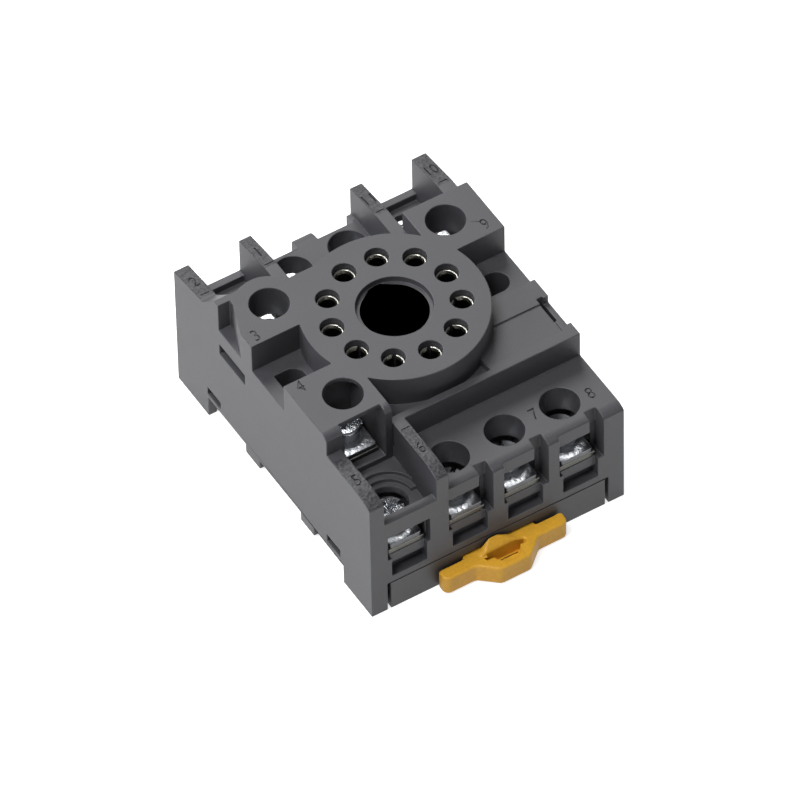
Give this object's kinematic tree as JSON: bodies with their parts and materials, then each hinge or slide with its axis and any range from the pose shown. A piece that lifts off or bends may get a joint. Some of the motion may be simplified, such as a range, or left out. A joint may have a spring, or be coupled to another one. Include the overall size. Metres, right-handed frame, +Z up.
{
  "type": "relay socket",
  "caption": "Rail-mount plug-in relay socket: a pin ring round a keyed guide hole, screw terminals on stepped levels with wire channels, and a sprung sliding rail clip",
  "frame": {"origin": "on the plane that the socket rests on, at the middle of the outline including the clip's handle; the relay axis is 3.75 mm towards the far face from it", "axes": "X along the clip face, Y from the clip face to the far face, Z up towards the relay"},
  "size_m": [0.05, 0.0684, 0.0326],
  "materials": {
    "housing": "moulded, fine matte texture",
    "base": "moulded, satin",
    "clip": "moulded, satin",
    "contact": "stamped, tin plated",
    "clamp": "bright zinc plated",
    "screw": "bright zinc plated",
    "spring": "drawn wire"
  },
  "bodies": {
    "socket": {"housing": "housing", "base_plate": "base", "clip_spring": "spring", "contact_1": "contact", "contact_2": "contact", "contact_3": "contact", "contact_4": "contact", "contact_5": "contact", "contact_6": "contact", "contact_7": "contact", "contact_8": "contact", "contact_9": "contact", "contact_10": "contact", "contact_11": "contact"},
    "clip": {"rail_clip": "clip"},
    "clamp_1": {"clamp_plate_1": "clamp"},
    "screw_1": {"terminal_screw_1": "screw"},
    "clamp_2": {"clamp_plate_2": "clamp"},
    "screw_2": {"terminal_screw_2": "screw"},
    "clamp_3": {"clamp_plate_3": "clamp"},
    "screw_3": {"terminal_screw_3": "screw"},
    "clamp_4": {"clamp_plate_4": "clamp"},
    "screw_4": {"terminal_screw_4": "screw"},
    "clamp_5": {"clamp_plate_5": "clamp"},
    "screw_5": {"terminal_screw_5": "screw"},
    "clamp_6": {"clamp_plate_6": "clamp"},
    "screw_6": {"terminal_screw_6": "screw"},
    "clamp_7": {"clamp_plate_7": "clamp"},
    "screw_7": {"terminal_screw_7": "screw"},
    "clamp_8": {"clamp_plate_8": "clamp"},
    "screw_8": {"terminal_screw_8": "screw"},
    "clamp_9": {"clamp_plate_9": "clamp"},
    "screw_9": {"terminal_screw_9": "screw"},
    "clamp_10": {"clamp_plate_10": "clamp"},
    "screw_10": {"terminal_screw_10": "screw"},
    "clamp_11": {"clamp_plate_11": "clamp"},
    "screw_11": {"terminal_screw_11": "screw"}
  },
  "joints": [
    {"name": "rail_clip_slide", "type": "slide", "parent": "socket", "child": "clip", "axis": [0, -1, 0], "range_m": [0, 0.003], "stiffness_N_per_m": 1000, "springref_m": -0.003, "deforming": ["clip_spring"]},
    {"name": "clamp_1_lift", "type": "slide", "parent": "socket", "child": "clamp_1", "axis": [0, 0, 1], "range_m": [0, 0.0018]},
    {"name": "screw_1_turn", "type": "hinge", "parent": "clamp_1", "child": "screw_1", "pos_m": [-0.00545, 0.02775, 0.0146], "axis": [0, 0, 1], "range_deg": [0, 1080]},
    {"name": "clamp_2_lift", "type": "slide", "parent": "socket", "child": "clamp_2", "axis": [0, 0, 1], "range_m": [0, 0.0018]},
    {"name": "screw_2_turn", "type": "hinge", "parent": "clamp_2", "child": "screw_2", "pos_m": [-0.0174, 0.02775, 0.0146], "axis": [0, 0, 1], "range_deg": [0, 1080]},
    {"name": "clamp_3_lift", "type": "slide", "parent": "socket", "child": "clamp_3", "axis": [0, 0, 1], "range_m": [0, 0.0018]},
    {"name": "screw_3_turn", "type": "hinge", "parent": "clamp_3", "child": "screw_3", "pos_m": [-0.0174, 0.01555, 0.0232], "axis": [0, 0, 1], "range_deg": [0, 1080]},
    {"name": "clamp_4_lift", "type": "slide", "parent": "socket", "child": "clamp_4", "axis": [0, 0, 1], "range_m": [0, 0.0018]},
    {"name": "screw_4_turn", "type": "hinge", "parent": "clamp_4", "child": "screw_4", "pos_m": [-0.0174, -0.00805, 0.0232], "axis": [0, 0, 1], "range_deg": [0, 1080]},
    {"name": "clamp_5_lift", "type": "slide", "parent": "socket", "child": "clamp_5", "axis": [0, 0, 1], "range_m": [0, 0.0018]},
    {"name": "screw_5_turn", "type": "hinge", "parent": "clamp_5", "child": "screw_5", "pos_m": [-0.0174, -0.02205, 0.0146], "axis": [0, 0, 1], "range_deg": [0, 1080]},
    {"name": "clamp_6_lift", "type": "slide", "parent": "socket", "child": "clamp_6", "axis": [0, 0, 1], "range_m": [0, 0.0018]},
    {"name": "screw_6_turn", "type": "hinge", "parent": "clamp_6", "child": "screw_6", "pos_m": [-0.00545, -0.02205, 0.0146], "axis": [0, 0, 1], "range_deg": [0, 1080]},
    {"name": "clamp_7_lift", "type": "slide", "parent": "socket", "child": "clamp_7", "axis": [0, 0, 1], "range_m": [0, 0.0018]},
    {"name": "screw_7_turn", "type": "hinge", "parent": "clamp_7", "child": "screw_7", "pos_m": [0.00545, -0.02205, 0.0146], "axis": [0, 0, 1], "range_deg": [0, 1080]},
    {"name": "clamp_8_lift", "type": "slide", "parent": "socket", "child": "clamp_8", "axis": [0, 0, 1], "range_m": [0, 0.0018]},
    {"name": "screw_8_turn", "type": "hinge", "parent": "clamp_8", "child": "screw_8", "pos_m": [0.01635, -0.02205, 0.0146], "axis": [0, 0, 1], "range_deg": [0, 1080]},
    {"name": "clamp_9_lift", "type": "slide", "parent": "socket", "child": "clamp_9", "axis": [0, 0, 1], "range_m": [0, 0.0018]},
    {"name": "screw_9_turn", "type": "hinge", "parent": "clamp_9", "child": "screw_9", "pos_m": [0.0174, 0.01555, 0.0232], "axis": [0, 0, 1], "range_deg": [0, 1080]},
    {"name": "clamp_10_lift", "type": "slide", "parent": "socket", "child": "clamp_10", "axis": [0, 0, 1], "range_m": [0, 0.0018]},
    {"name": "screw_10_turn", "type": "hinge", "parent": "clamp_10", "child": "screw_10", "pos_m": [0.0174, 0.02775, 0.0146], "axis": [0, 0, 1], "range_deg": [0, 1080]},
    {"name": "clamp_11_lift", "type": "slide", "parent": "socket", "child": "clamp_11", "axis": [0, 0, 1], "range_m": [0, 0.0018]},
    {"name": "screw_11_turn", "type": "hinge", "parent": "clamp_11", "child": "screw_11", "pos_m": [0.00545, 0.02775, 0.0146], "axis": [0, 0, 1], "range_deg": [0, 1080]}
  ],
  "couplings": [
    {"joint": "screw_1_turn", "follows": "clamp_1_lift", "rad_per_m": 10472},
    {"joint": "screw_2_turn", "follows": "clamp_2_lift", "rad_per_m": 10472},
    {"joint": "screw_3_turn", "follows": "clamp_3_lift", "rad_per_m": 10472},
    {"joint": "screw_4_turn", "follows": "clamp_4_lift", "rad_per_m": 10472},
    {"joint": "screw_5_turn", "follows": "clamp_5_lift", "rad_per_m": 10472},
    {"joint": "screw_6_turn", "follows": "clamp_6_lift", "rad_per_m": 10472},
    {"joint": "screw_7_turn", "follows": "clamp_7_lift", "rad_per_m": 10472},
    {"joint": "screw_8_turn", "follows": "clamp_8_lift", "rad_per_m": 10472},
    {"joint": "screw_9_turn", "follows": "clamp_9_lift", "rad_per_m": 10472},
    {"joint": "screw_10_turn", "follows": "clamp_10_lift", "rad_per_m": 10472},
    {"joint": "screw_11_turn", "follows": "clamp_11_lift", "rad_per_m": 10472}
  ]
}
